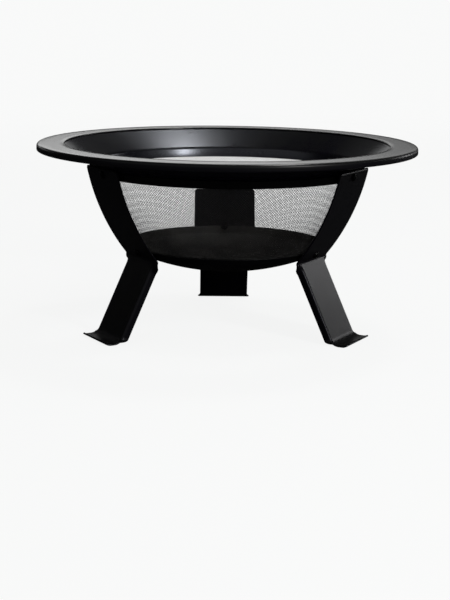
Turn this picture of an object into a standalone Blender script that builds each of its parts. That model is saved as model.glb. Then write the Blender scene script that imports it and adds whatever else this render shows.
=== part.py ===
"""Three-legged fire pit with a wire-mesh bowl, built from separate sheet-steel pieces.

Metres, +Z up. The origin is on the floor under the middle of the rim, and the front faces -Y.
Depths are measured downwards from the rim's top face.
"""
from math import acos, atan2, cos, pi, radians, sin, sqrt

import bmesh
import bpy
from mathutils import Matrix, Vector

# Whole pit
RIM_DIAMETER = 0.610
OVERALL_HEIGHT = 0.300
CLEARANCE = 0.0003

# Rim ring
RIM_WIDTH = 0.0430
RIM_SHEET = 0.0020
LIP_DEPTH = 0.0095
LIP_BEND_RADIUS = 0.0035

# Collar: flange under the rim, funnel down to the mesh, and skirt
COLLAR_SHEET = 0.0015
COLLAR_FLANGE_WIDTH = 0.0160
FUNNEL_WIDTH = 0.0414
FUNNEL_DEPTH = 0.0315
SKIRT_HEIGHT = 0.0145
FLANGE_BEND_RADIUS = 0.0050
SKIRT_BEND_RADIUS = 0.0090

# Wire mesh and the two flat hoops that clamp it. The weave is a plain grid of windows here
MESH_THICKNESS = 0.0012
MESH_BAR_WIDTH = 0.0050
MESH_CUT_REACH = 0.0100
BAND_SHEET = 0.0015
TOP_BAND_HEIGHT = 0.0110
BOTTOM_BAND_HEIGHT = 0.0105

# Pan
PAN_SHEET = 0.0020
PAN_RIM_DEPTH = 0.1620
PAN_WALL_HEIGHT = 0.0110
PAN_HEIGHT = 0.0425
PAN_BEND_RADIUS = 0.0070

# Bowl line: the outer face of the wire mesh, an arc from the funnel to just below the pan's wall
WALL_BOTTOM_RADIUS = 0.1495
WALL_BOTTOM_DROP = 0.0130
WALL_BOW = 0.0094

# Legs
LEG_SHEET = 0.0025
LEG_BLANK_WIDTH = 0.1040
LEG_WEB_WIDTH = 0.0820
STRAP_RISE = 0.0045
REAR_STRAP_HEIGHT = 0.0585
KNEE_DROP = 0.0135
KNEE_RADIUS = 0.0040
SHIN_SPLAY = radians(25.9)
FLANGE_RUN_IN = 0.0140
ANKLE_RADIUS = 0.0140
FLANGE_FADE = 0.5
SOLE_LENGTH = 0.0065
TOE_RADIUS = 0.0130
TOE_LIFT = 0.0035
TOE_EDGE_WIDTH = 0.0010
TOE_CORNER_RADIUS = 0.0080
LEG_ANGLES = {
    "leg_front_left": radians(-60),
    "leg_front_right": radians(60),
    "leg_rear": radians(180),
}
FRONT_LEGS = ("leg_front_left", "leg_front_right")

# Bolts, the same at the collar and at the pan
BOLT_DIAMETER = 0.0060
BOLT_HEAD_DIAMETER = 0.0130
BOLT_HEAD_HEIGHT = 0.0035
BOLT_END = 0.0015
HOLE_DIAMETER = 0.0068
WASHER_DIAMETER = 0.0120
WASHER_THICKNESS = 0.0010
NUT_FLATS = 0.0100
NUT_HEIGHT = 0.0045

# Places that follow from the sizes above
OPENING_RADIUS = RIM_DIAMETER / 2 - RIM_WIDTH
WALL_TOP_RADIUS = OPENING_RADIUS - FUNNEL_WIDTH
WALL_TOP_DEPTH = FUNNEL_DEPTH
WALL_BOTTOM_DEPTH = PAN_RIM_DEPTH + WALL_BOTTOM_DROP
COLLAR_BOTTOM_DEPTH = WALL_TOP_DEPTH + SKIRT_HEIGHT
MESH_TOP_DEPTH = COLLAR_BOTTOM_DEPTH - TOP_BAND_HEIGHT
STRAP_TOP_DEPTH = MESH_TOP_DEPTH - STRAP_RISE
REAR_STRAP_TOP_DEPTH = PAN_RIM_DEPTH - REAR_STRAP_HEIGHT
KNEE_DEPTH = PAN_RIM_DEPTH + KNEE_DROP
COLLAR_BOLT_DEPTH = COLLAR_BOTTOM_DEPTH - TOP_BAND_HEIGHT / 2
PAN_BOLT_DEPTH = PAN_RIM_DEPTH + BOTTOM_BAND_HEIGHT / 2

# Facets: one facet's middle of every turned sheet faces each leg
RING_STEPS = 48
ROUND_STEPS = 12
BEND_STEPS = 3
WALL_ROWS = 8
MESH_WINDOWS_ROUND = 24
MESH_WINDOW_ROWS = 3
SHORT_ROWS = 2
DOME_ROWS = 6
STRAP_ROWS = 9
RUN_IN_ROWS = 4
ANKLE_STEPS = 6
TOE_STEPS = 5
HEAD_STEPS = 4
WELD_DISTANCE = 0.00001

# Colours and finishes
SATIN_BLACK = ((0.010, 0.010, 0.012), 0.38, 0.0)
WIRE_GREY = ((0.060, 0.060, 0.063), 0.42, 0.6)
ZINC_BLACK = ((0.018, 0.018, 0.020), 0.45, 0.5)


def clear_scene():
    for item in list(bpy.data.objects):
        bpy.data.objects.remove(item, do_unlink=True)


def new_collection(name):
    group = bpy.data.collections.new(name)
    bpy.context.scene.collection.children.link(group)
    return group


def new_material(name, look):
    colour, roughness, metallic = look
    material = bpy.data.materials.new(name)
    material.use_nodes = True
    shader = material.node_tree.nodes["Principled BSDF"]
    shader.inputs["Base Color"].default_value = (*colour, 1.0)
    shader.inputs["Roughness"].default_value = roughness
    shader.inputs["Metallic"].default_value = metallic
    material.diffuse_color = (*colour, 1.0)
    return material


def add_object(name, mesh, look=None):
    piece = bpy.data.objects.new(name, mesh)
    if look is not None:
        mesh.materials.append(new_material(name + "_finish", look))
    PIT.objects.link(piece)
    return piece


def add_cutter(name, mesh):
    cutter = bpy.data.objects.new(name, mesh)
    cutter.hide_render = True
    cutter.display_type = "WIRE"
    CUTTERS.objects.link(cutter)
    return cutter


def cut_holes(piece, cutter):
    boolean = piece.modifiers.new("holes", "BOOLEAN")
    boolean.operation = "DIFFERENCE"
    boolean.solver = "EXACT"
    boolean.object = cutter


# Profiles: points are (radius, depth), and rounded() replaces a corner with an arc
def rounded(points, radii, steps=BEND_STEPS):
    """Returns the polyline with the corner at each index in radii turned into an arc."""
    result = []
    for index, point in enumerate(points):
        if index not in radii:
            result.append(point)
            continue
        here = Vector(point)
        back = (Vector(points[index - 1]) - here).normalized()
        ahead = (Vector(points[index + 1]) - here).normalized()
        half = acos(max(-1.0, min(1.0, back.dot(ahead)))) / 2
        reach = radii[index] / (sin(half) / cos(half))
        middle = (back + ahead).normalized()
        centre = here + middle * (radii[index] / sin(half))
        start = here + back * reach - centre
        end = here + ahead * reach - centre
        sweep = start.angle_signed(end)
        for step in range(steps + 1):
            turn = -sweep * step / steps
            x = start.x * cos(turn) - start.y * sin(turn)
            y = start.x * sin(turn) + start.y * cos(turn)
            result.append((centre.x + x, centre.y + y))
    return result


def wall_arc():
    """Centre and radius of the bowl line's arc in the (radius, depth) plane."""
    top = Vector((WALL_TOP_RADIUS, WALL_TOP_DEPTH))
    bottom = Vector((WALL_BOTTOM_RADIUS, WALL_BOTTOM_DEPTH))
    chord = bottom - top
    radius = (chord.length ** 2 / 4 + WALL_BOW ** 2) / (2 * WALL_BOW)
    inward = Vector((-chord.y, chord.x)).normalized()
    centre = (top + bottom) / 2 + inward * (radius - WALL_BOW)
    return centre, radius


def wall_radius(depth, offset=0.0):
    """Radius of the bowl line, moved out along its normal by offset, at a depth."""
    centre, radius = wall_arc()
    return centre.x + sqrt((radius + offset) ** 2 - (depth - centre.y) ** 2)


def wall_slope(depth, offset=0.0):
    """Angle of the bowl line's outward normal below the horizontal at a depth."""
    centre, radius = wall_arc()
    return atan2(depth - centre.y, wall_radius(depth, offset) - centre.x)


def wall_points(start, end, offset, rows):
    """Points down the moved bowl line between two depths."""
    depths = [start + (end - start) * row / rows for row in range(rows + 1)]
    return [(wall_radius(depth, offset), depth) for depth in depths]


# Offsets of each layer's middle surface from the bowl line, from inside to outside
COLLAR_OFFSET = -(MESH_THICKNESS + CLEARANCE + COLLAR_SHEET / 2)
PAN_OFFSET = -(MESH_THICKNESS + CLEARANCE + PAN_SHEET / 2)
MESH_OFFSET = -MESH_THICKNESS / 2
BAND_OFFSET = CLEARANCE + BAND_SHEET / 2
LEG_OUTER_OFFSET = 2 * CLEARANCE + BAND_SHEET + LEG_SHEET


# Turned sheet pieces
def turned_sheet(name, profile, thickness, look):
    """Spins an open profile of (radius, depth) points into a sheet of even thickness.

    Facet middles, not corners, lie at the profile's radius.
    """
    mesh = bpy.data.meshes.new(name)
    reach = 1 / cos(pi / RING_STEPS)
    points = [(radius * reach, 0.0, OVERALL_HEIGHT - depth) for radius, depth in profile]
    mesh.from_pydata(points, [(i, i + 1) for i in range(len(points) - 1)], [])
    piece = add_object(name, mesh, look)
    piece.rotation_euler.z = pi / RING_STEPS
    screw = piece.modifiers.new("turned", "SCREW")
    screw.steps = RING_STEPS
    screw.render_steps = RING_STEPS
    screw.use_merge_vertices = True
    screw.merge_threshold = WELD_DISTANCE
    screw.use_smooth_shade = True
    wall = piece.modifiers.new("sheet", "SOLIDIFY")
    wall.thickness = thickness
    wall.offset = 0.0
    wall.use_even_offset = True
    return piece


def make_rim_ring():
    outer = RIM_DIAMETER / 2 - RIM_SHEET / 2
    middle = RIM_SHEET / 2
    corners = [(OPENING_RADIUS, middle), (outer, middle), (outer, LIP_DEPTH)]
    profile = rounded(corners, {1: LIP_BEND_RADIUS})
    return turned_sheet("rim_ring", profile, RIM_SHEET, SATIN_BLACK)


def make_collar():
    flange = RIM_SHEET + CLEARANCE + COLLAR_SHEET / 2
    funnel_top = OPENING_RADIUS - COLLAR_SHEET / 2
    skirt = wall_points(WALL_TOP_DEPTH, COLLAR_BOTTOM_DEPTH, COLLAR_OFFSET, SHORT_ROWS)
    corners = [(funnel_top + COLLAR_FLANGE_WIDTH, flange), (funnel_top, flange), *skirt]
    bends = {1: FLANGE_BEND_RADIUS, 2: SKIRT_BEND_RADIUS}
    return turned_sheet("collar", rounded(corners, bends), COLLAR_SHEET, SATIN_BLACK)


def make_mesh_wall():
    end = PAN_RIM_DEPTH + PAN_WALL_HEIGHT
    profile = wall_points(MESH_TOP_DEPTH, end, MESH_OFFSET, WALL_ROWS)
    return turned_sheet("mesh_wall", profile, MESH_THICKNESS, WIRE_GREY)


def make_mesh_windows():
    """Cutter with a tapered block for each window, so that bars of even width are left."""
    half_pitch = pi / MESH_WINDOWS_ROUND
    row_height = (PAN_RIM_DEPTH - COLLAR_BOTTOM_DEPTH) / MESH_WINDOW_ROWS
    blocks = bmesh.new()
    for row in range(MESH_WINDOW_ROWS):
        top = COLLAR_BOTTOM_DEPTH + row_height * row + MESH_BAR_WIDTH / 2
        bottom = top + row_height - MESH_BAR_WIDTH
        for window in range(MESH_WINDOWS_ROUND):
            corners = bmesh.ops.create_cube(blocks, size=2.0)["verts"]
            for corner in corners:
                side, face, level = corner.co
                depth = top if level > 0 else bottom
                radius = wall_radius(depth, MESH_OFFSET)
                half_width = radius * sin(half_pitch) / cos(half_pitch) - MESH_BAR_WIDTH / 2
                reach = radius + MESH_CUT_REACH * face
                corner.co = (half_width * side, -reach, OVERALL_HEIGHT - depth)
            turn = Matrix.Rotation((2 * window + 1) * half_pitch, 4, "Z")
            bmesh.ops.transform(blocks, matrix=turn, verts=corners)
    bmesh.ops.recalc_face_normals(blocks, faces=blocks.faces)
    mesh = bpy.data.meshes.new("mesh_windows")
    blocks.to_mesh(mesh)
    blocks.free()
    return add_cutter("mesh_windows", mesh)


def make_top_band():
    profile = wall_points(MESH_TOP_DEPTH, COLLAR_BOTTOM_DEPTH, BAND_OFFSET, SHORT_ROWS)
    return turned_sheet("mesh_top_band", profile, BAND_SHEET, SATIN_BLACK)


def make_bottom_band():
    end = PAN_RIM_DEPTH + BOTTOM_BAND_HEIGHT
    profile = wall_points(PAN_RIM_DEPTH, end, BAND_OFFSET, SHORT_ROWS)
    return turned_sheet("mesh_bottom_band", profile, BAND_SHEET, SATIN_BLACK)


def make_pan():
    """Upturned wall along the bowl line, a bend, and a shallow dome down to the middle."""
    wall_end = PAN_RIM_DEPTH + PAN_WALL_HEIGHT
    wall = wall_points(PAN_RIM_DEPTH, wall_end, PAN_OFFSET, SHORT_ROWS)
    edge_radius, edge_depth = wall[-1]
    bottom = PAN_RIM_DEPTH + PAN_HEIGHT - PAN_SHEET / 2
    sag = bottom - edge_depth
    dome = (edge_radius ** 2 + sag ** 2) / (2 * sag)
    floor = []
    for row in range(1, DOME_ROWS + 1):
        radius = edge_radius * (1 - row / DOME_ROWS)
        floor.append((radius, bottom - dome + sqrt(dome ** 2 - radius ** 2)))
    profile = rounded(wall + floor, {len(wall) - 1: PAN_BEND_RADIUS})
    return turned_sheet("pan", profile, PAN_SHEET, SATIN_BLACK)


# Legs
def leg_path(strap_top):
    """Outer-face path of a leg as (radius, depth, flange fold 0..1, flange width, half web).

    The strap follows the bowl line down from its top, the knee folds it outwards, the shin
    runs straight, and the ankle and toe are arcs.
    """
    flange = (LEG_BLANK_WIDTH - LEG_WEB_WIDTH) / 2
    half_web = LEG_WEB_WIDTH / 2
    strap = wall_points(strap_top, KNEE_DEPTH, LEG_OUTER_OFFSET, STRAP_ROWS)
    sole = OVERALL_HEIGHT - LEG_SHEET
    splay = SHIN_SPLAY
    ankle_drop = ANKLE_RADIUS * (1 - sin(splay))
    ankle_depth = sole - ankle_drop
    knee_radius, knee_depth = strap[-1]
    reach = (ankle_depth - knee_depth) / cos(splay)
    shin_end = (knee_radius + reach * sin(splay), ankle_depth)
    shin_middle = ((knee_radius + shin_end[0]) / 2, (knee_depth + ankle_depth) / 2)
    corner = rounded([*strap, shin_middle, shin_end], {STRAP_ROWS: KNEE_RADIUS})
    knee_row = STRAP_ROWS + BEND_STEPS
    path = []
    for row, (radius, depth) in enumerate(corner[:knee_row + 1]):
        path.append((radius, depth, 0.0, flange, half_web))
    start_radius, start_depth = corner[knee_row]
    for row in range(1, RUN_IN_ROWS + 1):
        fold = row / RUN_IN_ROWS
        along = FLANGE_RUN_IN * fold
        radius = start_radius + along * sin(splay)
        depth = start_depth + along * cos(splay)
        path.append((radius, depth, fold, flange, half_web))
    for radius, depth in corner[knee_row + 1:]:
        path.append((radius, depth, 1.0, flange, half_web))
    centre_radius = shin_end[0] + ANKLE_RADIUS * cos(splay)
    for step in range(1, ANKLE_STEPS + 1):
        share = step / ANKLE_STEPS
        turn = splay + (pi / 2 - splay) * share
        radius = centre_radius - ANKLE_RADIUS * cos(turn)
        depth = sole - ANKLE_RADIUS * (1 - sin(turn))
        fade = min(1.0, share / FLANGE_FADE)
        path.append((radius, depth, 1 - fade, flange + (TOE_EDGE_WIDTH - flange) * fade, half_web))
    toe_start = path[-1][0] + SOLE_LENGTH
    path.append((toe_start, sole, 0.0, TOE_EDGE_WIDTH, half_web))
    toe_turn = acos(1 - TOE_LIFT / TOE_RADIUS)
    toe_end = toe_start + TOE_RADIUS * sin(toe_turn)
    for step in range(1, TOE_STEPS + 1):
        turn = toe_turn * step / TOE_STEPS
        radius = toe_start + TOE_RADIUS * sin(turn)
        depth = sole - TOE_RADIUS * (1 - cos(turn))
        inside = min(max(0.0, TOE_CORNER_RADIUS - (toe_end - radius)), TOE_CORNER_RADIUS)
        trim = TOE_CORNER_RADIUS - sqrt(TOE_CORNER_RADIUS ** 2 - inside ** 2)
        path.append((radius, depth, 0.0, TOE_EDGE_WIDTH, half_web - trim))
    return path


def leg_mesh(strap_top):
    """Lofts five columns along the path: flange edge, fold, middle, fold, flange edge."""
    path = leg_path(strap_top)
    points = []
    for row, (radius, depth, fold, flange, half_web) in enumerate(path):
        before = path[max(row - 1, 0)]
        after = path[min(row + 1, len(path) - 1)]
        run = Vector((after[0] - before[0], before[1] - after[1])).normalized()
        outward = Vector((-run.y, run.x))
        angle = fold * pi / 2
        side = half_web + flange * cos(angle)
        back = flange * sin(angle)
        height = OVERALL_HEIGHT - depth
        points.append((-side, -(radius - back * outward.x), height - back * outward.y))
        points.append((-half_web, -radius, height))
        points.append((0.0, -radius, height))
        points.append((half_web, -radius, height))
        points.append((side, -(radius - back * outward.x), height - back * outward.y))
    faces = []
    for row in range(len(path) - 1):
        for column in range(4):
            first = row * 5 + column
            faces.append((first, first + 5, first + 6, first + 1))
    mesh = bpy.data.meshes.new("leg")
    mesh.from_pydata(points, [], faces)
    mesh.update()
    return mesh


def make_legs():
    """Two front legs with full straps, and the rear leg, whose strap is short."""
    front_mesh = leg_mesh(STRAP_TOP_DEPTH)
    rear_mesh = leg_mesh(REAR_STRAP_TOP_DEPTH)
    finish = new_material("leg_finish", SATIN_BLACK)
    front_mesh.materials.append(finish)
    rear_mesh.materials.append(finish)
    legs = []
    for name, angle in LEG_ANGLES.items():
        leg = add_object(name, front_mesh if name in FRONT_LEGS else rear_mesh)
        leg.rotation_euler.z = angle
        wall = leg.modifiers.new("sheet", "SOLIDIFY")
        wall.thickness = LEG_SHEET
        wall.offset = -1.0
        wall.use_even_offset = True
        legs.append(leg)
    return legs


# Bolt sets: a bolt's own frame has its axis along +Z with z = 0 on the leg's outer face
def seat_matrix(depth):
    """Places a bolt's frame on the front of the pit, square to the strap at a depth."""
    slope = wall_slope(depth, LEG_OUTER_OFFSET)
    radius = wall_radius(depth, LEG_OUTER_OFFSET)
    place = Matrix.Translation((0, -radius, OVERALL_HEIGHT - depth))
    return place @ Matrix.Rotation(pi / 2 + slope, 4, "X")


def one_per_leg(name, mesh, depth, look, leg_names):
    """Separate pieces that share a mesh, one at each of the legs, named for the leg."""
    mesh.transform(seat_matrix(depth))
    mesh.materials.append(new_material(name + "_finish", look))
    for leg_name in leg_names:
        piece = add_object(name + leg_name.removeprefix("leg"), mesh)
        piece.rotation_euler.z = LEG_ANGLES[leg_name]


def drill_for_all(name, mesh, depth, leg_names):
    """One cutter that holds the holes at all of the legs."""
    mesh.transform(seat_matrix(depth))
    joined = bmesh.new()
    for leg_name in leg_names:
        copy = mesh.copy()
        copy.transform(Matrix.Rotation(LEG_ANGLES[leg_name], 4, "Z"))
        joined.from_mesh(copy)
        bpy.data.meshes.remove(copy)
    joined.to_mesh(mesh)
    joined.free()
    return add_cutter(name, mesh)


def turned_mesh(name, profile, steps):
    """Closed solid turned from (radius, z) points that start and end on the axis."""
    solid = bmesh.new()
    start = [solid.verts.new((radius, 0, z)) for radius, z in profile]
    edges = [solid.edges.new(pair) for pair in zip(start, start[1:])]
    axis = {"cent": (0, 0, 0), "axis": (0, 0, 1), "angle": 2 * pi}
    bmesh.ops.spin(solid, geom=start + edges, **axis, steps=steps, use_merge=True)
    bmesh.ops.remove_doubles(solid, verts=solid.verts, dist=WELD_DISTANCE)
    bmesh.ops.recalc_face_normals(solid, faces=solid.faces)
    mesh = bpy.data.meshes.new(name)
    solid.to_mesh(mesh)
    solid.free()
    return mesh


def stack_behind(inner_sheet):
    """Depth of the washer's front behind the leg's outer face: four sheets, a gap behind each."""
    sheets = (LEG_SHEET, BAND_SHEET, MESH_THICKNESS, inner_sheet)
    return sum(sheets) + len(sheets) * CLEARANCE


def bolt_mesh(inner_sheet):
    """Domed head outside the strap and a shank that ends just past the nut."""
    shank = BOLT_DIAMETER / 2
    head = BOLT_HEAD_DIAMETER / 2
    tail = stack_behind(inner_sheet) + WASHER_THICKNESS + NUT_HEIGHT + CLEARANCE + BOLT_END
    profile = []
    for step in range(HEAD_STEPS + 1):
        turn = pi / 2 * step / HEAD_STEPS
        profile.append((head * sin(turn), CLEARANCE + BOLT_HEAD_HEIGHT * cos(turn)))
    profile += [(shank, CLEARANCE), (shank, -tail), (0, -tail)]
    return turned_mesh("bolt", profile, ROUND_STEPS)


def polygon(radius, corners):
    turns = [2 * pi * corner / corners for corner in range(corners)]
    return [(radius * cos(turn), radius * sin(turn)) for turn in turns]


def ring_mesh(name, outline, hole_radius, thickness, front):
    """Flat ring between z = -front and z = -front - thickness, from a 2D curve."""
    curve = bpy.data.curves.new(name, "CURVE")
    curve.dimensions = "2D"
    curve.fill_mode = "BOTH"
    curve.extrude = thickness / 2
    for loop in (outline, polygon(hole_radius, ROUND_STEPS)):
        spline = curve.splines.new("POLY")
        spline.points.add(len(loop) - 1)
        for point, (x, y) in zip(spline.points, loop):
            point.co = (x, y, 0, 1)
        spline.use_cyclic_u = True
    shape = bpy.data.objects.new(name, curve)
    CUTTERS.objects.link(shape)
    bpy.context.view_layer.update()
    filled = shape.evaluated_get(bpy.context.evaluated_depsgraph_get())
    mesh = bpy.data.meshes.new_from_object(filled)
    bpy.data.objects.remove(shape)
    solid = bmesh.new()
    solid.from_mesh(mesh)
    bmesh.ops.remove_doubles(solid, verts=solid.verts, dist=WELD_DISTANCE)
    bmesh.ops.recalc_face_normals(solid, faces=solid.faces)
    bmesh.ops.translate(solid, verts=solid.verts, vec=(0, 0, -front - thickness / 2))
    solid.to_mesh(mesh)
    solid.free()
    mesh.materials.clear()
    return mesh


def make_bolt_sets():
    """Bolts, washers and nuts at the collar and at the pan, and the cutters of their holes."""
    cutters = {}
    hole = HOLE_DIAMETER / 2
    thread = BOLT_DIAMETER / 2 + CLEARANCE
    disc = polygon(WASHER_DIAMETER / 2, ROUND_STEPS)
    hexagon = polygon(NUT_FLATS / 2 / cos(pi / 6), 6)
    places = {
        "collar": (COLLAR_BOLT_DEPTH, COLLAR_SHEET, FRONT_LEGS),
        "pan": (PAN_BOLT_DEPTH, PAN_SHEET, tuple(LEG_ANGLES)),
    }
    for place, (depth, sheet, leg_names) in places.items():
        washer_front = stack_behind(sheet)
        nut_front = washer_front + WASHER_THICKNESS + CLEARANCE
        end = nut_front + NUT_HEIGHT
        washer = ring_mesh("washer", disc, hole, WASHER_THICKNESS, washer_front)
        nut = ring_mesh("nut", hexagon, thread, NUT_HEIGHT, nut_front)
        drill = [(0, BOLT_HEAD_HEIGHT), (hole, BOLT_HEAD_HEIGHT), (hole, -end), (0, -end)]
        one_per_leg(place + "_bolt", bolt_mesh(sheet), depth, ZINC_BLACK, leg_names)
        one_per_leg(place + "_washer", washer, depth, ZINC_BLACK, leg_names)
        one_per_leg(place + "_nut", nut, depth, ZINC_BLACK, leg_names)
        drill_mesh = turned_mesh("drill", drill, ROUND_STEPS)
        cutters[place] = drill_for_all(place + "_drill", drill_mesh, depth, leg_names)
    return cutters


clear_scene()
PIT = new_collection("fire_pit")
CUTTERS = new_collection("cutters")
make_rim_ring()
collar = make_collar()
mesh_wall = make_mesh_wall()
cut_holes(mesh_wall, make_mesh_windows())
top_band = make_top_band()
bottom_band = make_bottom_band()
pan = make_pan()
legs = make_legs()
drills = make_bolt_sets()
for sheet_piece in (collar, mesh_wall, top_band, *legs[:2]):
    cut_holes(sheet_piece, drills["collar"])
for sheet_piece in (pan, mesh_wall, bottom_band, *legs):
    cut_holes(sheet_piece, drills["pan"])
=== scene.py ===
"""Looks of a three-legged fire pit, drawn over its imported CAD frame.

Metres, +Z up, origin on the floor under the middle of the rim, front towards -Y. Depths are measured
down from the rim's top. Each section holds one piece: its sizes, its surface and its finish.
"""

import bmesh
import bpy
import numpy as np
from mathutils import Matrix, Vector


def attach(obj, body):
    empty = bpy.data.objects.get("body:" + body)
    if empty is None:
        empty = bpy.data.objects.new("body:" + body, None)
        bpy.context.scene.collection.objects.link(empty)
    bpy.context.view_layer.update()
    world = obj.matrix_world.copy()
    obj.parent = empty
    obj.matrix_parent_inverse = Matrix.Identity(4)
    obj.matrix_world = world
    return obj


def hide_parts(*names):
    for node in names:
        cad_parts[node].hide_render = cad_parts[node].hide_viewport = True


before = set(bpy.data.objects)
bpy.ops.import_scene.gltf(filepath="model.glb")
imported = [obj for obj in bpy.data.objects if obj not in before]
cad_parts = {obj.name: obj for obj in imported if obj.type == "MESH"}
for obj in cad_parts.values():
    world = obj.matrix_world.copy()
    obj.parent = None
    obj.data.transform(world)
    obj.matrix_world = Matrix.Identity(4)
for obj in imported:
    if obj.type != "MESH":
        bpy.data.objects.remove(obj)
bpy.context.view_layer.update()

# Rim ring: 2 mm sheet steel, pressed flat, with a lip turned down round its outer edge. The collar
# is welded under its inner edge. Satin black heat-resistant paint, with a clear coat on its top face.
rim_top = 0.300
rim_radius = 0.305
opening_radius = 0.262
rim_sheet = 0.002
lip_depth = 0.0095
lip_bend_radius = 0.0035
flat_radii = (0.270, 0.280, 0.290)
wide_ring_steps = 256
weld_distance = 0.000001
rim_black = (0.0030, 0.0028, 0.0042)
rim_coat = (rim_top - 0.0012, rim_top - 0.0004)


def bend(points, radii, steps=8):
    """A polyline with an arc in place of each corner that radii names by its number.

    An arc's centre lies on the corner's bisector, radius / sin(half the corner's angle) away. Its
    points are the spokes to both ends, weighted by the sines of their shares of the arc's sweep.
    """
    points = np.asarray(points, float)
    result = []
    for index, point in enumerate(points):
        if index not in radii:
            result.append(point[None])
            continue
        back = points[index - 1] - point
        ahead = points[index + 1] - point
        back /= np.linalg.norm(back)
        ahead /= np.linalg.norm(ahead)
        half = np.arccos(np.clip(back @ ahead, -1, 1)) / 2
        middle = (back + ahead) / np.linalg.norm(back + ahead)
        centre = point + middle * radii[index] / np.sin(half)
        start = point + back * radii[index] / np.tan(half) - centre
        end = point + ahead * radii[index] / np.tan(half) - centre
        share = np.linspace(0, 1, steps + 1)[:, None]
        sweep = np.pi - 2 * half
        arc = (start * np.sin((1 - share) * sweep) + end * np.sin(share * sweep)) / np.sin(sweep)
        result.append(centre + arc)
    return np.concatenate(result)


def sheet_outline(path, thickness, hem_steps=5):
    """Closed outline of a sheet of even thickness round a middle line, with half-round edges.

    Each side is the line moved half a thickness along its normal, and each edge is a half circle.
    """
    run = np.gradient(path, axis=0)
    run /= np.linalg.norm(run, axis=1, keepdims=True)
    side = np.stack([-run[:, 1], run[:, 0]], axis=1)
    half = thickness / 2
    turn = np.linspace(0, np.pi, hem_steps + 2)[1:-1, None]
    far = path[-1] + half * (side[-1] * np.cos(turn) + run[-1] * np.sin(turn))
    near = path[0] - half * (side[0] * np.cos(turn) + run[0] * np.sin(turn))
    return np.concatenate([path + half * side, far, (path - half * side)[::-1], near])


def add_surface(name, points, faces):
    """A smooth mesh object from an array of points and an array of four-cornered faces."""
    mesh = bpy.data.meshes.new(name)
    mesh.from_pydata(points.reshape(-1, 3).tolist(), [], faces.reshape(-1, 4).tolist())
    mesh.polygons.foreach_set("use_smooth", np.ones(len(mesh.polygons), bool))
    mesh.update()
    piece = bpy.data.objects.new(name, mesh)
    bpy.context.scene.collection.objects.link(piece)
    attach(piece, "root")
    return piece


def wrapped_faces(rows, columns, close_rows=True):
    """Faces of a grid of points whose rows close on themselves, and whose columns may."""
    row = np.arange(rows if close_rows else rows - 1)[:, None]
    column = np.arange(columns)[None, :]
    next_row = (row + 1) % rows
    next_column = (column + 1) % columns
    corners = [row * columns + column, next_row * columns + column]
    corners += [next_row * columns + next_column, row * columns + next_column]
    return np.stack(np.broadcast_arrays(*corners), axis=-1)


def turned(name, outline, steps):
    """The closed outline, radius r and height z, carried round to (r cos a, r sin a, z).

    Points that fall together on the axis are merged, and the edges left over there are removed.
    """
    angle = np.linspace(0, 2 * np.pi, steps, endpoint=False)[:, None]
    radius = outline[None, :, 0]
    height = np.broadcast_to(outline[None, :, 1], (steps, len(outline)))
    points = np.stack([radius * np.cos(angle), radius * np.sin(angle), height], axis=-1)
    ahead = np.roll(outline, -1, axis=0)
    area = np.sum(outline[:, 0] * ahead[:, 1] - outline[:, 1] * ahead[:, 0])
    faces = wrapped_faces(steps, len(outline))
    piece = add_surface(name, points, faces if area > 0 else faces[..., ::-1])
    merged = bmesh.new()
    merged.from_mesh(piece.data)
    bmesh.ops.remove_doubles(merged, verts=merged.verts, dist=weld_distance)
    loose = [edge for edge in merged.edges if not edge.link_faces]
    bmesh.ops.delete(merged, geom=loose, context="EDGES")
    merged.to_mesh(piece.data)
    merged.free()
    return piece


class Value:
    """A shader socket whose arithmetic adds Math nodes."""

    def __init__(self, tree, socket):
        self.tree = tree
        self.socket = socket

    def maths(self, operation, other):
        node = self.tree.nodes.new("ShaderNodeMath")
        node.operation = operation
        for place, item in zip(node.inputs, (self, other)):
            if isinstance(item, Value):
                self.tree.links.new(item.socket, place)
            else:
                place.default_value = item
        return Value(self.tree, node.outputs[0])

    def __add__(self, other):
        return self.maths("ADD", other)

    __radd__ = __add__

    def __sub__(self, other):
        return self.maths("SUBTRACT", other)

    def __mul__(self, other):
        return self.maths("MULTIPLY", other)


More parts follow.
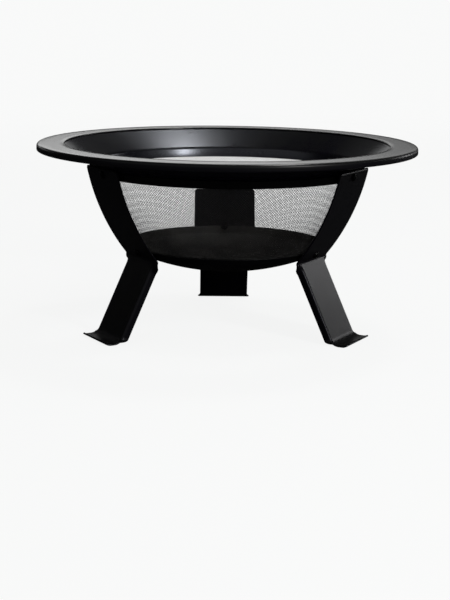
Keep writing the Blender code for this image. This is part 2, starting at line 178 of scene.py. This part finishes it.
class Finish:
    """A material or world under construction, on one shader whose constants are set at the start."""

    def __init__(self, name, owner=None, shader="ShaderNodeBsdfPrincipled", **constants):
        self.owner = owner or bpy.data.materials.new(name)
        self.owner.use_nodes = True
        self.tree = self.owner.node_tree
        self.tree.nodes.clear()
        self.shader = self.tree.nodes.new(shader)
        self.set(**constants)

    def feed(self, place, value):
        """Gives an input a link from a Value, or else a constant."""
        if isinstance(value, Value):
            self.tree.links.new(value.socket, place)
        else:
            place.default_value = value

    def set(self, **values):
        """Feeds the shader's own inputs, whose names have _ for each space."""
        for name, value in values.items():
            self.feed(self.shader.inputs[name.replace("_", " ")], value)

    def node(self, kind, settings=None, output=0, **values):
        """Adds any other node. Its inputs are named, or numbered as _0, _1 and so on."""
        node = self.tree.nodes.new(kind)
        for name, value in (settings or {}).items():
            setattr(node, name, value)
        for name, value in values.items():
            key = int(name[1:]) if name[1:].isdigit() else name.replace("_", " ")
            self.feed(node.inputs[key], value)
        return Value(self.tree, node.outputs[output])

    def close(self, kind="ShaderNodeOutputMaterial", surface=None):
        """Links the given surface, or the shader, to the output."""
        output = self.tree.nodes.new(kind)
        last = surface.socket if surface else self.shader.outputs[0]
        self.tree.links.new(last, output.inputs["Surface"])
        return self.owner

    def place(self):
        return self.node("ShaderNodeTexCoord", output="Object")

    def noise(self, scale, detail=2.0, roughness=0.5):
        values = {"Scale": scale, "Detail": detail, "Roughness": roughness}
        return self.node("ShaderNodeTexNoise", Vector=self.place(), **values)

    def between(self, value, low, high, to_low=0.0, to_high=1.0):
        """An even, rounded step from to_low to to_high as the value goes from low to high."""
        ends = {"_1": low, "_2": high, "_3": to_low, "_4": to_high}
        return self.node("ShaderNodeMapRange", {"interpolation_type": "SMOOTHSTEP"}, Value=value, **ends)

    def mix_colours(self, factor, first, second):
        """A blend of two colours, each of them three numbers or a Value."""
        first, second = (item if isinstance(item, Value) else (*item, 1) for item in (first, second))
        return self.node("ShaderNodeMix", {"data_type": "RGBA"}, output=2, _0=factor, _6=first, _7=second)

    def bump(self, height, distance, strength):
        return self.node("ShaderNodeBump", Height=height, Distance=distance, Strength=strength)


def painted(name, colour, roughness, gloss, dust_and_top_light=0.003, coat=None, **constants):
    """Sprayed heat-resistant paint: a fine pebbled skin, a cloudy sheen, and a grey on faces that look up
    which is partly dust and partly painted top light.

    The grey's mask is slow and middle noise, times how far a face looks up, so tops come out lighter,
    as painted light from above as well as dust. It moves the colour towards a warm grey of the value
    given. Roughness is the base value plus slow clouds, fine grain and that mask. coat holds the two
    heights between which a clear coat comes in.
    """
    finish = Finish(name, Specular_IOR_Level=gloss, **constants)
    clouds = finish.noise(9.0, 3.0, 0.55)
    patches = finish.noise(38.0, 4.0, 0.6)
    grain = finish.noise(1400.0, 1.0)
    pebble = finish.noise(520.0)
    normal = finish.node("ShaderNodeNewGeometry", output="Normal")
    upward = finish.node("ShaderNodeSeparateXYZ", output="Z", Vector=normal)
    # Faces that look up turn a lighter grey in cloudy patches: partly dust, partly painted top light.
    dust_and_top_light_mask = finish.between(clouds * 0.6 + patches * 0.4, 0.30, 0.62) * finish.between(upward, 0.05, 0.6)
    dust_and_top_light_grey = (dust_and_top_light, dust_and_top_light * 0.96, dust_and_top_light * 0.88)
    finish.set(Base_Color=finish.mix_colours(dust_and_top_light_mask, colour, dust_and_top_light_grey))
    finish.set(Roughness=roughness + (clouds - 0.5) * 0.05 + (grain - 0.5) * 0.06 + dust_and_top_light_mask * 0.05)
    finish.set(Normal=finish.bump(pebble * 0.7 + grain * 0.3, 0.00012, 0.35))
    if coat:
        height = finish.node("ShaderNodeSeparateXYZ", output="Z", Vector=finish.place())
        finish.set(Coat_Weight=finish.between(height, *coat) * (0.9 + clouds * 0.1))
    return finish.close()


rim_middle = rim_sheet / 2
rim_edge = rim_radius - rim_sheet / 2
rim_line = [(opening_radius, rim_middle), (rim_edge, rim_middle), (rim_edge, lip_depth)]
rim_path = bend(rim_line, {1: lip_bend_radius})
rim_path = np.insert(rim_path, 1, [(radius, rim_middle) for radius in flat_radii], axis=0)
rim_path[:, 1] = rim_top - rim_path[:, 1]
rim = turned("rim", sheet_outline(rim_path, rim_sheet), wide_ring_steps)
rim_shine = {"Coat_Roughness": 0.12, "Coat_IOR": 1.7}
rim_paint = painted("rim_satin_black", rim_black, 0.34, 0.25, 0.004, rim_coat, **rim_shine)
rim.data.materials.append(rim_paint)
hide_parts("rim_ring")

# Collar: a spun ring of 1.5 mm sheet, spot-welded under the rim. It runs down and inwards from the
# opening as a plain funnel, rolls over, and ends in a skirt that the wire mesh is clamped to. It has
# the smoothest paint of all, which shows as a soft highlight inside the funnel.
clearance = 0.0003
collar_sheet = 0.0015
flange_width = 0.016
flange_bend_radius = 0.005
skirt_bend_radius = 0.009
skirt_bottom = 0.046
mesh_sheet = 0.0012
bowl_top = np.array([0.2206, 0.0315])
bowl_bottom = np.array([0.1495, 0.1750])
bowl_bow = 0.0094
collar_black = (0.0020, 0.0014, 0.0042)
collar_tint = (0.86, 0.90, 1.0, 1.0)


def bowl_line(depth, offset=0.0):
    """Radius of the bowl's arc at a depth under the rim, moved out along its normal.

    The arc's radius is (chord / 2) squared plus the bow squared, over twice the bow, and its centre
    lies that radius less the bow inside the chord's middle.
    """
    chord = bowl_bottom - bowl_top
    length = np.linalg.norm(chord)
    reach = (length**2 / 4 + bowl_bow**2) / (2 * bowl_bow)
    inward = np.array([-chord[1], chord[0]]) / length
    centre = (bowl_top + bowl_bottom) / 2 + inward * (reach - bowl_bow)
    return centre[0] + np.sqrt((reach + offset) ** 2 - (np.asarray(depth) - centre[1]) ** 2)


def bowl_path(start, end, offset, rows):
    """Points down the moved bowl line between two depths."""
    depth = np.linspace(start, end, rows)
    return np.stack([bowl_line(depth, offset), depth], axis=1)


collar_offset = -(mesh_sheet + clearance + collar_sheet / 2)
flange_depth = rim_sheet + clearance + collar_sheet / 2
collar_top = opening_radius - collar_sheet / 2
skirt = bowl_path(bowl_top[1], skirt_bottom, collar_offset, 3)
collar_line = [(collar_top + flange_width, flange_depth), (collar_top, flange_depth), *skirt]
collar_path = bend(collar_line, {1: flange_bend_radius, 2: skirt_bend_radius}, 12)
collar_path[:, 1] = rim_top - collar_path[:, 1]
collar = turned("collar_ring", sheet_outline(collar_path, collar_sheet), wide_ring_steps)
collar_paint = painted("collar_satin_black", collar_black, 0.26, 0.9, Specular_Tint=collar_tint)
collar.data.materials.append(collar_paint)
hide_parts("collar")

# Wire mesh: fine steel wires woven on the bias and rolled to the bowl's curve, dark grey coated.
# Its top edge is clamped between the collar's skirt and a hoop, and its bottom edge between the pan's
# wall and a second hoop. Every wire is a tube of its own, in four sectors of each lean.
wires_each_way = 300
wire_radius = 0.00027
wire_steps = 168
wire_sides = 4
sector_count = 4
mesh_inset = 0.0003
top_band_height = 0.011
pan_rim_depth = 0.162
pan_wall_height = 0.011
band_top = skirt_bottom - top_band_height
dark_wire = (0.012, 0.012, 0.013)
worn_wire = (0.024, 0.023, 0.023)


def woven_wires(name, first, last, lean):
    """Round wires that climb the bowl at 45 degrees, numbered first to last, as four-sided tubes.

    A wire's angle round the bowl is its number's share of a turn, plus or minus the integral of
    ds / r, where s is the length down the bowl and r its radius there. Its distance from the
    mesh's middle surface is the cosine of that integral times the number of wires, times one wire
    radius, which passes over and under the wires that lean the other way.
    """
    depth = np.linspace(band_top + mesh_inset, pan_rim_depth + pan_wall_height - mesh_inset, 2000)
    radius = bowl_line(depth, -mesh_sheet / 2)
    step = np.hypot(np.diff(radius), np.diff(depth))
    twist = np.concatenate([[0], np.cumsum(step / ((radius[1:] + radius[:-1]) / 2))])
    even = np.linspace(0, twist[-1], wire_steps)
    depth = np.interp(even, twist, depth)
    radius = bowl_line(depth, -mesh_sheet / 2)
    slope = np.gradient(radius, depth)
    outward = np.stack([1 / np.hypot(1, slope), slope / np.hypot(1, slope)], axis=1)
    weave = lean * wire_radius * np.cos(even * wires_each_way)
    number = np.arange(first, last)[:, None]
    angle = number * 2 * np.pi / wires_each_way + lean * even
    spoke = np.stack([np.cos(angle), np.sin(angle)], axis=-1)
    flat = (radius + outward[:, 0] * weave)[None, :, None] * spoke
    height = rim_top - depth + outward[:, 1] * weave
    centre = np.concatenate([flat, np.broadcast_to(height[None, :, None], (*angle.shape, 1))], axis=-1)
    rise = np.broadcast_to(outward[None, :, 1:], (*angle.shape, 1))
    normal = np.concatenate([outward[None, :, :1] * spoke, rise], axis=-1)
    run = np.gradient(centre, axis=1)
    run /= np.linalg.norm(run, axis=-1, keepdims=True)
    side = np.cross(run, normal)
    corner = np.linspace(0, 2 * np.pi, wire_sides, endpoint=False)[:, None]
    around = normal[:, :, None] * np.cos(corner) + side[:, :, None] * np.sin(corner)
    points = centre[:, :, None] + wire_radius * around
    tube = wrapped_faces(wire_steps, wire_sides, close_rows=False).reshape(-1, 4)[:, ::-1]
    cap = np.arange(wire_sides)[None]
    tube = np.concatenate([tube, cap[:, ::-1], cap + wire_sides * (wire_steps - 1)])
    faces = tube[None] + (number[:, :, None] - first) * wire_steps * wire_sides
    return add_surface(name, points, faces)


wire_finish = Finish("coated_wire", Metallic=0.7, Specular_IOR_Level=0.5)
wire_clouds = wire_finish.noise(14.0)
wire_specks = wire_finish.noise(900.0, 1.0)
wire_tone = wire_finish.between(wire_clouds * 0.7 + wire_specks * 0.3, 0.35, 0.65)
wire_finish.set(Base_Color=wire_finish.mix_colours(wire_tone, dark_wire, worn_wire))
wire_finish.set(Roughness=0.38 + wire_specks * 0.12)
wire_paint = wire_finish.close()
for sector in range(sector_count):
    first_wire = sector * wires_each_way // sector_count
    last_wire = (sector + 1) * wires_each_way // sector_count
    for label, lean in (("left", -1), ("right", 1)):
        wires = woven_wires(f"mesh_wires_{label}_{sector + 1}", first_wire, last_wire, lean)
        wires.data.materials.append(wire_paint)
        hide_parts("mesh_wall")

# Clamping hoops: two flat strips of 1.5 mm steel rolled to the bowl, one round the mesh's top edge
# and one round its bottom edge, and spot-welded through it. Matt black paint.
band_sheet = 0.0015
bottom_band_height = 0.0105
hoop_inset = 0.0004
bowl_ring_steps = 192
band_offset = clearance + band_sheet / 2
band_paint = painted("hoop_satin_black", (0.0010, 0.0010, 0.0013), 0.42, 0.20)
for hoop_name, node, start, end in (
    ("top_hoop", "mesh_top_band", band_top, skirt_bottom),
    ("bottom_hoop", "mesh_bottom_band", pan_rim_depth, pan_rim_depth + bottom_band_height),
):
    path = bowl_path(start + hoop_inset, end - hoop_inset, band_offset, 6)
    path[:, 1] = rim_top - path[:, 1]
    hoop = turned(hoop_name, sheet_outline(path, band_sheet), bowl_ring_steps)
    hoop.data.materials.append(band_paint)
    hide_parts(node)

# Pan: 2 mm sheet, dished in a press, with a short wall that the mesh's bottom edge is clamped to.
# The legs are bolted through its wall. Its matt paint is lightened grey on the faces inside that look up,
# as painted top light.
pan_sheet = 0.002
pan_bottom_depth = 0.2045
pan_bend_radius = 0.007
dome_rows = 24
pan_hem_steps = 3
pan_black = (0.0016, 0.0016, 0.0014)
pan_offset = -(mesh_sheet + clearance + pan_sheet / 2)
pan_wall = bowl_path(pan_rim_depth, pan_rim_depth + pan_wall_height, pan_offset, 4)
edge_radius, edge_depth = pan_wall[-1]
floor_depth = pan_bottom_depth - pan_sheet / 2
sag = floor_depth - edge_depth
dome = (edge_radius**2 + sag**2) / (2 * sag)
dome_radius = edge_radius * (1 - np.arange(1, dome_rows + 1) / dome_rows)
dome_floor = np.stack([dome_radius, floor_depth - dome + np.sqrt(dome**2 - dome_radius**2)], axis=1)
pan_path = bend(np.concatenate([pan_wall, dome_floor]), {3: pan_bend_radius})
pan_path[:, 1] = rim_top - pan_path[:, 1]
pan_outline = sheet_outline(pan_path, pan_sheet, pan_hem_steps)
on_axis = len(pan_path) - 1 + np.arange(pan_hem_steps + 2)
pan_outline[on_axis, 0] = 0.0
pan = turned("dished_pan", pan_outline, bowl_ring_steps)
# The pan's larger grey value lightens its upward faces inside: painted top light.
pan.data.materials.append(painted("pan_satin_black", pan_black, 0.46, 0.15, 0.024))
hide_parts("pan")

# Legs: each is one 104 mm blank of 2.5 mm sheet. It lies flat down the bowl, folds sharply at the
# knee, runs straight out with both edges turned back, and ends in a plain foot with a lifted toe.
# Two bolts hold each front leg, and one holds the rear leg, whose strap ends lower.
leg_sheet = 0.0025
blank_half = 0.052
fold_half = 0.041
fold_zone = 0.007
foot_half = fold_half + 0.001
leg_offset = 2 * clearance + band_sheet + leg_sheet
strap_rows = 40
strap_corner = 0.003
knee_depth = 0.1755
knee_radius = 0.004
splay = np.radians(25.9)
shin_rows = 40
flange_run_in = 0.014
ankle_radius = 0.014
ankle_rows = 16
sole_length = 0.0065
toe_radius = 0.013
toe_lift = 0.0035
toe_corner = 0.008
blank_columns = 56
edge_layers = 8
leg_black = (0.0014, 0.0011, 0.0024)
leg_tint = (0.92, 0.92, 1, 1)
front_strap_top = band_top - 0.0045
rear_strap_top = pan_rim_depth - 0.0585
leg_places = {
    "leg_front_left": (-np.pi / 3, front_strap_top),
    "leg_front_right": (np.pi / 3, front_strap_top),
    "leg_rear": (np.pi, rear_strap_top),
}


def corner_trim(distance, radius):
    """How much narrower a sheet with round corners is on each side, at a distance from its end.

    It is the radius less the root of radius squared minus (radius - distance) squared, and 0
    past the corner.
    """
    inside = np.clip(radius - distance, 0, radius - 0.00001)
    return radius - np.sqrt(radius**2 - inside**2)


def leg_stations(strap_top):
    """Outer-face points down a leg as radius and depth, edge fold 0 to 1, and half width.

    The strap follows the bowl's arc, the shin is straight at the splay angle, the ankle and the toe
    are arcs, and the sole is level. The edges fold over a short run below the knee, by an even,
    rounded step, and unfold over the first half of the ankle.
    """
    strap = bowl_path(strap_top, knee_depth, leg_offset, strap_rows)
    sole = rim_top - leg_sheet
    ankle_depth = sole - ankle_radius * (1 - np.sin(splay))
    ankle = strap[-1] + (ankle_depth - knee_depth) * np.array([np.tan(splay), 1.0])
    plain_strap = strap[:-3]
    knee = {len(plain_strap): knee_radius}
    upper = bend(np.concatenate([plain_strap, strap[-1:], ankle[None]]), knee)[:-1]
    share = np.linspace(0, 1, shin_rows)[1:, None]
    shin = upper[-1] + share * (ankle - upper[-1])
    shin_fold = np.clip(share[:, 0] * np.linalg.norm(ankle - upper[-1]) / flange_run_in, 0, 1)
    shin_fold = shin_fold * shin_fold * (3 - 2 * shin_fold)
    turn = np.linspace(splay, np.pi / 2, ankle_rows + 1)[1:]
    centre = ankle + ankle_radius * np.array([np.cos(splay), -np.sin(splay)])
    heel = centre + ankle_radius * np.stack([-np.cos(turn), np.sin(turn)], axis=1)
    fade = np.clip(np.arange(1, ankle_rows + 1) / (ankle_rows / 2), 0, 1)
    toe_turn = np.arccos(1 - toe_lift / toe_radius)
    toe_start = heel[-1, 0] + sole_length
    lift = toe_turn * np.sin(np.linspace(0, np.pi / 2, 15)[1:])
    toe = np.stack([toe_start + toe_radius * np.sin(lift), sole - toe_radius * (1 - np.cos(lift))], axis=1)
    toe_tip = toe_start + toe_radius * np.sin(toe_turn)
    line = np.concatenate([upper, shin, heel, [[toe_start, sole]], toe])
    fold = np.concatenate([np.zeros(len(upper)), shin_fold, 1 - fade, np.zeros(1 + len(toe))])
    blank = np.full(len(upper) + len(shin), blank_half)
    blank[: len(plain_strap)] -= corner_trim(plain_strap[:, 1] - strap_top, strap_corner)
    foot = blank_half + (foot_half - blank_half) * fade
    toe_half = foot_half - corner_trim(toe_tip - toe[:, 0], toe_corner)
    return line, fold, np.concatenate([blank, foot, [foot_half], toe_half])


def pressed_leg(name, turn, strap_top):
    """Sweeps the blank's cross-section down the leg and closes it round its edges and ends.

    Across the blank the sheet's angle is 0 on the web and grows to fold x 90 degrees inside a
    narrow zone at each fold line. Sideways place and depth are the running sums of the angle's
    cosine and sine. The layers lie behind each other through the sheet's thickness, and their side
    edges stand out by half an ellipse. Each row of the result runs once round the sheet.
    """
    line, fold, half = leg_stations(strap_top)
    flat = np.linspace(0, 1, blank_columns)[None, :] * half[:, None]
    zone = np.clip((flat - fold_half + fold_zone / 2) / fold_zone, 0, 1)
    angle = fold[:, None] * np.pi / 2 * zone * zone * (3 - 2 * zone)
    step = np.diff(flat, axis=1)
    middle_angle = (angle[:, 1:] + angle[:, :-1]) / 2
    zero = np.zeros((len(line), 1))
    width = np.concatenate([zero, np.cumsum(step * np.cos(middle_angle), axis=1)], axis=1)
    back = np.concatenate([zero, np.cumsum(step * np.sin(middle_angle), axis=1)], axis=1)
    width = np.concatenate([-width[:, :0:-1], width], axis=1)
    back = np.concatenate([back[:, :0:-1], back], axis=1)
    angle = np.concatenate([-angle[:, :0:-1], angle], axis=1)
    run = np.gradient(line, axis=0)
    run /= np.linalg.norm(run, axis=1, keepdims=True)
    out = np.stack([run[:, 1], -run[:, 0]], axis=1)
    hem = np.sqrt(np.clip(1 - np.linspace(1, -1, edge_layers) ** 2, 0, 1)) * leg_sheet / 4
    layers = []
    for layer, depth in enumerate(np.linspace(0, leg_sheet, edge_layers)):
        edge = np.zeros_like(width)
        edge[:, 0] = -hem[layer]
        edge[:, -1] = hem[layer]
        inner = back + depth * np.cos(angle)
        spread = width - depth * np.sin(angle) + edge * np.cos(angle)
        radius = line[:, :1] - inner * out[:, :1]
        drop = line[:, 1:] - inner * out[:, 1:]
        layers.append(np.stack([spread, -radius, rim_top - drop], axis=-1))
    layers = np.array(layers)
    right_edge = layers[1:-1, :, -1].swapaxes(0, 1)
    left_edge = layers[-2:0:-1, :, 0].swapaxes(0, 1)
    ring = np.concatenate([layers[0], right_edge, layers[-1][:, ::-1], left_edge], axis=1)
    cosine, sine = np.cos(turn), np.sin(turn)
    sideways = ring[..., 0] * cosine - ring[..., 1] * sine
    forwards = ring[..., 0] * sine + ring[..., 1] * cosine
    points = np.stack([sideways, forwards, ring[..., 2]], axis=-1)
    rows, columns = width.shape
    around = ring.shape[1]
    edge_points = edge_layers - 2
    front = np.arange(columns - 1)
    behind = 2 * columns + edge_points - 1 - front
    rung = np.arange(edge_points // 2)
    ladder = np.stack([rung, rung + 1, edge_points - rung, edge_points + 1 - rung], axis=1)
    cap = [np.stack([front + 1, behind - 1, behind, front], axis=1)]
    cap += [(start + ladder) % around for start in (columns - 1, 2 * columns + edge_points - 1)]
    cap = np.concatenate(cap)
    sides = wrapped_faces(rows, around, close_rows=False).reshape(-1, 4)
    return add_surface(name, points, np.concatenate([sides, cap, cap[:, ::-1] + (rows - 1) * around]))


leg_paint = painted("leg_satin_black", leg_black, 0.34, 0.25, Specular_Tint=leg_tint)
for node, (turn, strap_top) in leg_places.items():
    leg = pressed_leg(node.replace("leg", "pressed_leg"), turn, strap_top)
    leg.data.materials.append(leg_paint)
    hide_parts(node)

# Bolts, washers and nuts: M6 dome heads in black zinc, through the straps, the hoops and the mesh
# into the collar's skirt or the pan's wall. The CAD's own solids show, with a finely speckled finish.
dark_zinc = (0.0025, 0.0025, 0.0030)
pale_zinc = (0.006, 0.006, 0.006)
zinc_finish = Finish("black_zinc", Metallic=0.8, Specular_IOR_Level=0.5)
zinc_clouds = zinc_finish.noise(160.0, 3.0)
zinc_grain = zinc_finish.noise(2600.0, 1.0)
zinc_tone = zinc_finish.between(zinc_clouds, 0.35, 0.65)
zinc_finish.set(Base_Color=zinc_finish.mix_colours(zinc_tone, dark_zinc, pale_zinc))
zinc_finish.set(Roughness=0.36 + zinc_grain * 0.16)
zinc_finish.set(Normal=zinc_finish.bump(zinc_grain, 0.00005, 0.3))
black_zinc = zinc_finish.close()
for node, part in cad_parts.items():
    if "bolt" in node or "washer" in node or "nut" in node:
        part.data.materials.clear()
        part.data.materials.append(black_zinc)

# Studio: a pale floor that fades into the white surround and keeps the pit's shadow. To the camera
# the floor is almost white, to other light it is greyer, and in reflections it is nearly black.
floor_reach = 6.0
floor_seen = (0.93, 0.935, 0.94)
floor_lighting = (0.45, 0.455, 0.46)
floor_mirrored = (0.02, 0.02, 0.02)
floor_glow = (0.985, 0.990, 0.987, 1)
glow_share = 0.89
floor_corners = np.array([[-1, -1, 0], [1, -1, 0], [1, 1, 0], [-1, 1, 0]]) * floor_reach
floor_mesh = bpy.data.meshes.new("floor")
floor_mesh.from_pydata(floor_corners.tolist(), [], [[0, 1, 2, 3]])
floor = bpy.data.objects.new("floor", floor_mesh)
bpy.context.scene.collection.objects.link(floor)
pale = Finish("pale_floor", Roughness=0.75, Specular_IOR_Level=0.2)
seen = pale.node("ShaderNodeLightPath", output="Is Camera Ray")
mirrored = pale.node("ShaderNodeLightPath", output="Is Glossy Ray")
floor_tone = pale.mix_colours(seen, floor_lighting, floor_seen)
pale.set(Base_Color=pale.mix_colours(mirrored, floor_tone, floor_mirrored))
glow = pale.node("ShaderNodeEmission", Color=floor_glow, Strength=1.0)
lit = Value(pale.tree, pale.shader.outputs[0])
lit_or_glow = pale.node("ShaderNodeMixShader", _0=seen * glow_share, _1=lit, _2=glow)
distance = pale.node("ShaderNodeVectorMath", {"operation": "LENGTH"}, output="Value", _0=pale.place())
clear = pale.node("ShaderNodeBsdfTransparent")
fade = pale.between(distance, 1.2, 4.5)
floor_surface = pale.node("ShaderNodeMixShader", _0=fade, _1=lit_or_glow, _2=clear)
floor_mesh.materials.append(pale.close(surface=floor_surface))

# Surround: white to the camera and through gaps, and a soft fill for the rest. Reflections see a
# white band low behind the pit, weaker towards the right, and a dim room in front and high behind.
white_colour = (0.945, 0.950, 0.947, 1)
fill_strength = 0.30
room_strength = 0.012
front_strength = 0.24
high_strength = 0.05
world = bpy.data.worlds.new("surround")
bpy.context.scene.world = world
fill = {"Color": (1, 1, 1, 1), "Strength": fill_strength}
sky = Finish("surround", owner=world, shader="ShaderNodeBackground", **fill)
camera_ray = sky.node("ShaderNodeLightPath", output="Is Camera Ray")
glossy_ray = sky.node("ShaderNodeLightPath", output="Is Glossy Ray")
through_ray = sky.node("ShaderNodeLightPath", output="Is Transmission Ray")
heading = sky.node("ShaderNodeTexCoord", output="Generated")
sideways, backwards, upwards = (
    sky.node("ShaderNodeSeparateXYZ", output=axis, Vector=heading) for axis in "XYZ"
)
behind = sky.between(backwards, 0.10, 0.60)
level = sky.between(upwards, 0.080, 0.112) * sky.between(upwards, 0.26, 0.16)
across = sky.between(sideways, 0.17, 0.0, 0.35, 1.0)
across = across * sky.between(sideways, 0.70, 0.45) * sky.between(sideways, -0.70, -0.45)
band = glossy_ray * behind * level * across
seen_white = (camera_ray + through_ray + band).maths("MINIMUM", 1.0)
white = sky.node("ShaderNodeBackground", Color=white_colour, Strength=1.0)
in_front = sky.between(backwards, 0.0, -0.35) * sky.between(upwards, 0.05, 0.25)
in_front = in_front * sky.between(upwards, 0.95, 0.75)
high_behind = sky.between(backwards, 0.68, 0.85) * sky.between(upwards, 0.24, 0.36)
room = room_strength + in_front * front_strength + high_behind * high_strength
dim = sky.node("ShaderNodeBackground", Color=(1, 1, 1, 1), Strength=room)
filled = Value(sky.tree, sky.shader.outputs[0])
unlit = sky.node("ShaderNodeMixShader", _0=glossy_ray, _1=filled, _2=dim)
surround = sky.node("ShaderNodeMixShader", _0=seen_white, _1=unlit, _2=white)
sky.close("ShaderNodeOutputWorld", surround)

# Lamps and camera: three soft boxes, and the photograph's viewpoint as fitted to the rim and legs.
# The camera aims below the rim, its picture is shifted, and it tilts slightly. A row is a pixel of
# the photograph.
eye_distance = 2.2875
eye_rise = np.radians(5.85)
eye_turn = np.radians(-1.03)
aim_down = np.radians(5.85 + 3.73)
aim_turn = np.radians(-1.03 + 0.05)
tilt = np.radians(0.72)
sensor_width = 36
picture_rows = 600
focal_rows = 1418.0
shift_rows = -65


def soft_box(name, place, aim, size, watts):
    """A rectangular area lamp at a point, facing another point."""
    lamp = bpy.data.lights.new(name, "AREA")
    lamp.shape = "RECTANGLE"
    lamp.size, lamp.size_y = size
    lamp.energy = watts
    box = bpy.data.objects.new(name, lamp)
    box.location = place
    box.rotation_euler = (Vector(aim) - Vector(place)).to_track_quat("-Z", "Y").to_euler()
    bpy.context.scene.collection.objects.link(box)


def heading_of(turn, rise):
    """The unit vector (sin turn cos rise, -cos turn cos rise, sin rise)."""
    level_part = np.array([np.sin(turn), -np.cos(turn), 0.0]) * np.cos(rise)
    return level_part + (0, 0, np.sin(rise))


soft_box("overhead", (0.71, 0.98, 3.08), (0, 0, 0.2), (0.55, 0.55), 17)
soft_box("front_right", (1.9, -2.2, 1.55), (0, 0, 0.25), (0.5, 0.9), 42)
soft_box("rear_right", (2.3, 1.75, 0.78), (0.15, -0.08, 0.12), (0.6, 0.8), 6)
eye = heading_of(eye_turn, eye_rise) * eye_distance + (0, 0, rim_top)
ahead = -heading_of(aim_turn, aim_down)
level_right = np.cross(ahead, (0, 0, 1))
level_right /= np.linalg.norm(level_right)
level_up = np.cross(level_right, ahead)
camera_right = level_right * np.cos(tilt) + level_up * np.sin(tilt)
camera_up = level_up * np.cos(tilt) - level_right * np.sin(tilt)
pose = np.eye(4)
pose[:3, :3] = np.stack([camera_right, camera_up, -ahead], axis=1)
pose[:3, 3] = eye
lens = bpy.data.cameras.new("camera")
lens.lens = focal_rows * sensor_width / picture_rows
lens.shift_y = shift_rows / picture_rows
camera = bpy.data.objects.new("camera", lens)
camera.matrix_world = Matrix(pose.tolist())
bpy.context.scene.collection.objects.link(camera)
bpy.context.scene.camera = camera
bpy.context.scene.view_settings.view_transform = "Standard"

bpy.context.view_layer.update()
